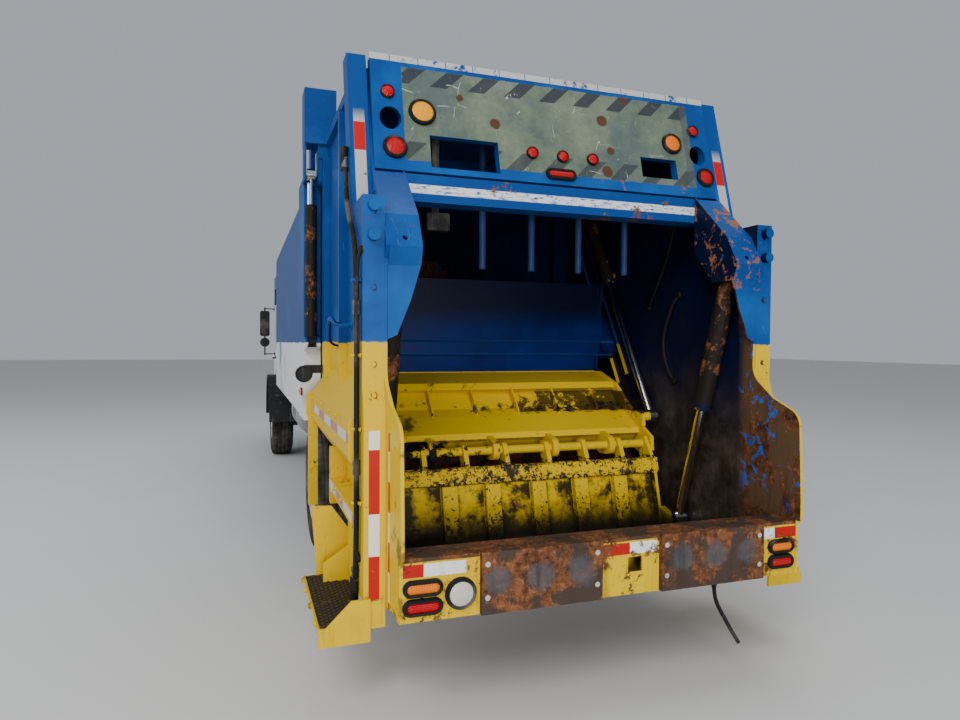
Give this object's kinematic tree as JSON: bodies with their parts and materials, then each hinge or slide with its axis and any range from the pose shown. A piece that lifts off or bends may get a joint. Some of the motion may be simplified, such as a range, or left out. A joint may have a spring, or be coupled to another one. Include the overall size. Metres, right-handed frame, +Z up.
{
  "type": "rear-loading refuse truck",
  "caption": "Refuse truck with an open rear hopper, a swinging packer blade on a sliding carriage, and a lifting tailgate.",
  "frame": {"origin": "on the ground, at the middle of the truck's length and width", "axes": "+Y to the rear (hopper end), +X to the truck's left side, +Z up"},
  "size_m": [2.77, 9.4, 3.56],
  "materials": {
    "body_paint": "blue over white, faded and dusty",
    "tailgate_paint": "blue over yellow, worn",
    "yellow_paint": "yellow, chipped and rusty",
    "fascia_paint": "blue, rusty along the lower edge",
    "worn_steel": "bare and rusty from the load",
    "rusty_steel": "rusty brown",
    "cylinder_paint": "dark, rusty",
    "rod_chrome": "polished rod, oily",
    "frame_black": "black, dirty",
    "engine_iron": "matt",
    "tank_metal": "dull",
    "exhaust_steel": "heat-stained",
    "dark_plastic": "matt",
    "cab_paint": "white over blue, dusty",
    "rim_paint": "white-grey, dirty",
    "hose_rubber": "matt, dusty",
    "tyre": "dusty",
    "lamp_lens": "red, amber and clear lenses",
    "glass": "clear",
    "lamp_glass": "clear"
  },
  "bodies": {
    "chassis": {"chassis_frame": "frame_black", "engine_block": "engine_iron", "front_axle": "frame_black", "rear_axle": "frame_black", "fuel_tank": "tank_metal", "battery_box": "frame_black", "exhaust_stack": "exhaust_steel", "front_fenders": "dark_plastic", "front_bumper": "dark_plastic", "headlamps": "lamp_glass", "body_floor": "frame_black", "body_shell": "body_paint", "body_bulkhead": "body_paint", "body_rear_frame": "body_paint"},
    "ejector": {"ejector_panel": "worn_steel"},
    "steering_left": {"knuckle_left": "engine_iron"},
    "steering_right": {"knuckle_right": "engine_iron"},
    "cab": {"cab_floor": "cab_paint", "cab_sides": "cab_paint", "cab_rear_wall": "cab_paint", "cab_roof": "cab_paint", "cab_front": "cab_paint", "windscreen": "glass", "cab_interior": "dark_plastic"},
    "door_left_body": {"door_left": "cab_paint", "door_glass_left": "glass", "mirror_left": "dark_plastic"},
    "door_right_body": {"door_right": "cab_paint", "door_glass_right": "glass", "mirror_right": "dark_plastic"},
    "tailgate": {"tailgate_sides": "tailgate_paint", "tailgate_posts": "tailgate_paint", "tailgate_ears": "tailgate_paint", "tailgate_towers": "tailgate_paint", "hydraulic_lines": "hose_rubber", "sill_hose": "hose_rubber", "tailgate_roof": "tailgate_paint", "fascia": "fascia_paint", "hopper_floor": "worn_steel", "sill_beam": "rusty_steel", "tail_lamps": "lamp_lens", "side_steps": "yellow_paint", "slide_barrels": "cylinder_paint"},
    "packer_carriage": {"carriage": "yellow_paint", "slide_rods": "rod_chrome"},
    "packer_blade": {"blade": "yellow_paint"},
    "sweep_cylinder_barrels": {"sweep_barrels": "cylinder_paint"},
    "sweep_cylinder_rods": {"sweep_rods": "rod_chrome"},
    "lift_cylinder_barrels": {"lift_barrels": "cylinder_paint"},
    "lift_cylinder_rods": {"lift_rods": "rod_chrome"},
    "wheel_front_left": {"tyre_front_left": "tyre", "rim_front_left": "rim_paint"},
    "wheel_front_right": {"tyre_front_right": "tyre", "rim_front_right": "rim_paint"},
    "wheel_rear_left": {"tyres_rear_left": "tyre", "rim_rear_left": "rim_paint"},
    "wheel_rear_right": {"tyres_rear_right": "tyre", "rim_rear_right": "rim_paint"}
  },
  "joints": [
    {"name": "steer_left", "type": "hinge", "parent": "chassis", "child": "steering_left", "pos_m": [0.9, -3.33, 0.525], "axis": [0, 0, 1], "range_deg": [-35, 35]},
    {"name": "steer_right", "type": "hinge", "parent": "chassis", "child": "steering_right", "pos_m": [-0.9, -3.33, 0.525], "axis": [0, 0, 1], "range_deg": [-35, 35]},
    {"name": "spin_front_left", "type": "hinge", "parent": "steering_left", "child": "wheel_front_left", "pos_m": [1.1, -3.33, 0.525], "axis": [1, 0, 0], "continuous": true},
    {"name": "spin_front_right", "type": "hinge", "parent": "steering_right", "child": "wheel_front_right", "pos_m": [-1.1, -3.33, 0.525], "axis": [1, 0, 0], "continuous": true},
    {"name": "spin_rear_left", "type": "hinge", "parent": "chassis", "child": "wheel_rear_left", "pos_m": [1.1, 1.63, 0.525], "axis": [1, 0, 0], "continuous": true},
    {"name": "spin_rear_right", "type": "hinge", "parent": "chassis", "child": "wheel_rear_right", "pos_m": [-1.1, 1.63, 0.525], "axis": [1, 0, 0], "continuous": true},
    {"name": "cab_tilt", "type": "hinge", "parent": "chassis", "child": "cab", "pos_m": [0, -4.535, 0.72], "axis": [1, 0, 0], "range_deg": [0, 50]},
    {"name": "door_left_swing", "type": "hinge", "parent": "cab", "child": "door_left_body", "pos_m": [1.165, -4.554, 1.24], "axis": [0, 0, -1], "range_deg": [0, 70]},
    {"name": "door_right_swing", "type": "hinge", "parent": "cab", "child": "door_right_body", "pos_m": [-1.165, -4.554, 1.24], "axis": [0, 0, 1], "range_deg": [0, 70]},
    {"name": "ejector_slide", "type": "slide", "parent": "chassis", "child": "ejector", "axis": [0, 1, 0], "range_m": [0, 3.3]},
    {"name": "tailgate_lift", "type": "hinge", "parent": "chassis", "child": "tailgate", "pos_m": [0, 1.92, 3.25], "axis": [1, 0, 0], "range_deg": [0, 88]},
    {"name": "packer_slide", "type": "slide", "parent": "tailgate", "child": "packer_carriage", "axis": [0, -0.5225, 0.8526], "range_m": [0, 0.78]},
    {"name": "blade_sweep", "type": "hinge", "parent": "packer_carriage", "child": "packer_blade", "pos_m": [0, 3.51, 1.04], "axis": [1, 0, 0], "range_deg": [0, 75]},
    {"name": "lift_barrel_swing", "type": "hinge", "parent": "chassis", "child": "lift_cylinder_barrels", "pos_m": [0, 2.17, 1.7], "axis": [1, 0, 0], "range_deg": [-2, 0.5]},
    {"name": "lift_rod_slide", "type": "slide", "parent": "lift_cylinder_barrels", "child": "lift_cylinder_rods", "axis": [0, 0, 1], "range_m": [0, 0.545]},
    {"name": "sweep_barrel_swing", "type": "hinge", "parent": "tailgate", "child": "sweep_cylinder_barrels", "pos_m": [0, 4.241, 2.186], "axis": [1, 0, 0], "range_deg": [-0.5, 4.5]},
    {"name": "sweep_rod_slide", "type": "slide", "parent": "sweep_cylinder_barrels", "child": "sweep_cylinder_rods", "axis": [0, -0.2913, -0.9566], "range_m": [-0.62, 0]}
  ],
  "couplings": [
    {"joint": "steer_right", "follows": "steer_left", "ratio": 1},
    {"joint": "lift_barrel_swing", "follows": "tailgate_lift", "ratio": -0.02127},
    {"joint": "lift_rod_slide", "follows": "tailgate_lift", "m_per_rad": 0.3518},
    {"joint": "sweep_barrel_swing", "follows": "blade_sweep", "ratio": 0.0552},
    {"joint": "sweep_rod_slide", "follows": "blade_sweep", "m_per_rad": -0.4706}
  ]
}
